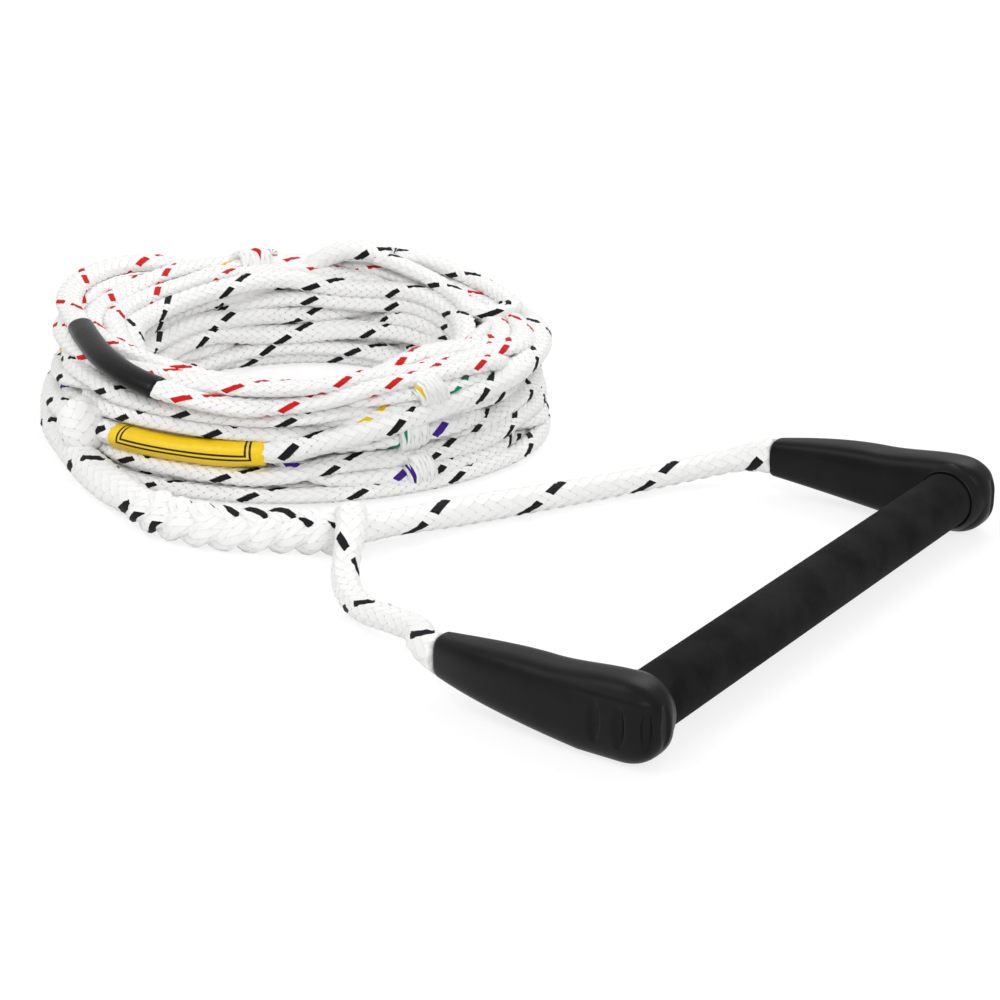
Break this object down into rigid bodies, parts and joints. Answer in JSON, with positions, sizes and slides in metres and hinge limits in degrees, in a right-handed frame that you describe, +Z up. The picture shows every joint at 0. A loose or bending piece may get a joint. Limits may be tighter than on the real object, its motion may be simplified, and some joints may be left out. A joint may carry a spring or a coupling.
{
  "type": "tow rope handle",
  "caption": "Water-ski tow rope: rubber-capped hand grip on a rope bridle, plaited throat, and a flat coil of braided line with colour-traced sections, shrunk sleeves and a tow loop.",
  "frame": {"origin": "on the floor, at the middle of the handle's own box, with the rope left out", "axes": "+X along the bar towards the right cap, +Y the way the rope leaves the caps, +Z up from the floor"},
  "size_m": [0.4332, 0.5648, 0.0692],
  "materials": {
    "rope": "white hollow-braided polyethylene with one coloured tracer strand",
    "cap": "satin charcoal moulded rubber",
    "grip": "matt black suede-textured rubber",
    "tube": "drawn aluminium tube",
    "plug": "natural nylon",
    "yellow_sleeve": "yellow shrunk sleeve",
    "black_sleeve": "glossy black shrunk sleeve"
  },
  "bodies": {
    "line": {"throat_plait": "rope", "handle_line": "rope", "line_hitch": "rope", "coil_core": "rope", "main_section": "rope", "violet_hitch": "rope", "violet_section": "rope", "green_hitch": "rope", "green_section": "rope", "yellow_hitch": "rope", "yellow_section": "rope", "red_hitch": "rope", "red_section": "rope", "boat_hitch": "rope", "boat_section": "rope", "yellow_sleeve": "yellow_sleeve", "black_sleeve": "black_sleeve", "boat_splice": "rope", "boat_loop": "rope"},
    "bridle": {"left_bridle_leg": "rope", "right_bridle_leg": "rope", "throat_splice": "rope"},
    "handle": {"handle_tube": "tube", "grip_sleeve": "grip", "left_end_cap": "cap", "right_end_cap": "cap", "left_tube_plug": "plug", "right_tube_plug": "plug", "left_stopper_knot": "rope", "right_stopper_knot": "rope", "left_leg_tail": "rope", "right_leg_tail": "rope"}
  },
  "joints": [
    {"name": "throat_bend", "type": "hinge", "parent": "line", "child": "bridle", "pos_m": [-0.072, 0.21, 0.0115], "axis": [-1, 0, 0], "range_deg": [0, 80], "deforming": ["throat_plait"]},
    {"name": "bar_tilt", "type": "hinge", "parent": "bridle", "child": "handle", "pos_m": [0, 0.0725, 0.017], "axis": [-1, 0, 0], "range_deg": [0, 60], "deforming": ["left_bridle_leg", "right_bridle_leg"]}
  ]
}
